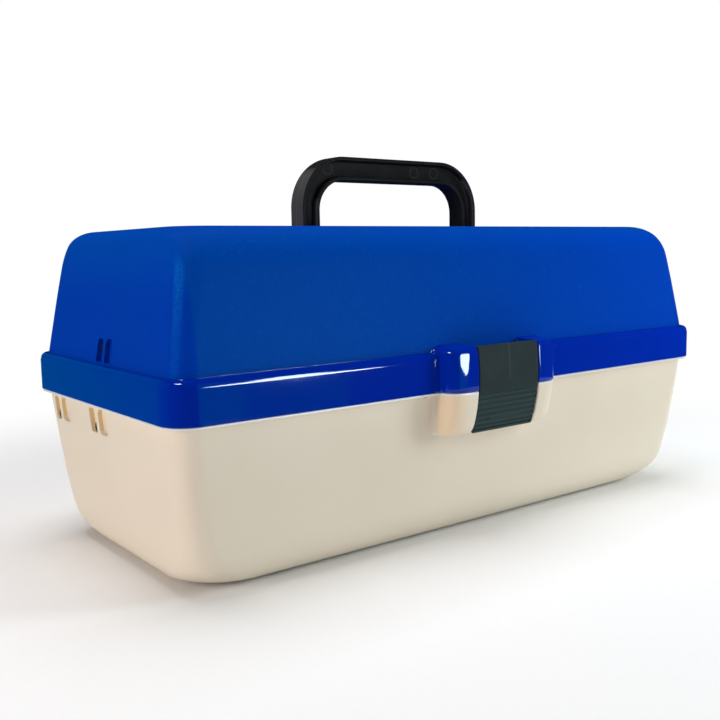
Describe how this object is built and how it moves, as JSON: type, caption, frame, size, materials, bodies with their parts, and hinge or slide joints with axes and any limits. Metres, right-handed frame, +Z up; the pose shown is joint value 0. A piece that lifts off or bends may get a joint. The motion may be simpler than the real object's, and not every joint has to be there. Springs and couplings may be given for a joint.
{
  "type": "cantilever tackle box",
  "caption": "Portable cantilever tackle box with a fold-down handle, front latch and fold-out trays, shown shut with the handle up.",
  "frame": {"origin": "middle of the tub's flat underside", "axes": "+X along the box, to the right seen from the latch side; the latch faces -Y; +Z up; drawn shut with the handle up"},
  "size_m": [0.36, 0.1865, 0.1995],
  "materials": {
    "tub_plastic": "fine satin",
    "lid_plastic": "fine satin",
    "black_plastic": "satin",
    "latch_plastic": "satin",
    "tray_plastic": "satin",
    "divider_plastic": "satin",
    "steel": "plain turned"
  },
  "bodies": {
    "tub": {"tub": "tub_plastic", "hinge_pin_left": "steel", "hinge_pin_right": "steel"},
    "lid": {"lid": "lid_plastic", "handle_pin_left": "steel", "handle_pin_right": "steel", "latch_pin": "steel"},
    "handle": {"handle": "black_plastic"},
    "latch": {"latch": "latch_plastic"},
    "front_arms": {"front_arm_left": "black_plastic", "front_arm_right": "black_plastic"},
    "rear_arms": {"rear_arm_left": "black_plastic", "rear_arm_right": "black_plastic"},
    "lid_links": {"lid_link_left": "black_plastic", "lid_link_right": "black_plastic"},
    "lower_tray": {"lower_tray": "tray_plastic", "lower_tray_rivets": "steel", "lower_divider_1": "divider_plastic", "lower_divider_2": "divider_plastic", "lower_divider_3": "divider_plastic", "lower_divider_4": "divider_plastic", "lower_divider_5": "divider_plastic"},
    "upper_tray": {"upper_tray": "tray_plastic", "upper_tray_rivets": "steel", "link_rivets": "steel", "upper_divider_1": "divider_plastic", "upper_divider_2": "divider_plastic", "upper_divider_3": "divider_plastic", "upper_divider_4": "divider_plastic"}
  },
  "joints": [
    {"name": "lid_hinge", "type": "hinge", "parent": "tub", "child": "lid", "pos_m": [0, 0.087, 0.0785], "axis": [-1, 0, 0], "range_deg": [0, 100]},
    {"name": "handle_fold", "type": "hinge", "parent": "lid", "child": "handle", "pos_m": [0, 0, 0.154], "axis": [-1, 0, 0], "range_deg": [0, 90]},
    {"name": "latch_swing", "type": "hinge", "parent": "lid", "child": "latch", "pos_m": [0, -0.089, 0.0966], "axis": [-1, 0, 0], "range_deg": [0, 95]},
    {"name": "front_arm_pivot", "type": "hinge", "parent": "tub", "child": "front_arms", "pos_m": [0, 0.011, 0.0666], "axis": [-1, 0, 0], "range_deg": [0, 95]},
    {"name": "rear_arm_pivot", "type": "hinge", "parent": "tub", "child": "rear_arms", "pos_m": [0, 0.061, 0.0666], "axis": [-1, 0, 0], "range_deg": [0, 95]},
    {"name": "lower_tray_pivot", "type": "hinge", "parent": "rear_arms", "child": "lower_tray", "pos_m": [0, 0.03845, 0.07481], "axis": [-1, 0, 0], "range_deg": [-95, 0]},
    {"name": "upper_tray_pivot", "type": "hinge", "parent": "rear_arms", "child": "upper_tray", "pos_m": [0, -0.00666, 0.09123], "axis": [-1, 0, 0], "range_deg": [-95, 0]},
    {"name": "lid_link_pivot", "type": "hinge", "parent": "upper_tray", "child": "lid_links", "pos_m": [0, 0.0195, 0.1025], "axis": [-1, 0, 0], "range_deg": [0, 115]}
  ],
  "couplings": [
    {"joint": "front_arm_pivot", "follows": "lid_hinge", "ratio": 0.95},
    {"joint": "rear_arm_pivot", "follows": "lid_hinge", "ratio": 0.95},
    {"joint": "lower_tray_pivot", "follows": "lid_hinge", "ratio": -0.95},
    {"joint": "upper_tray_pivot", "follows": "lid_hinge", "ratio": -0.95},
    {"joint": "lid_link_pivot", "follows": "lid_hinge", "ratio": 1.15}
  ]
}
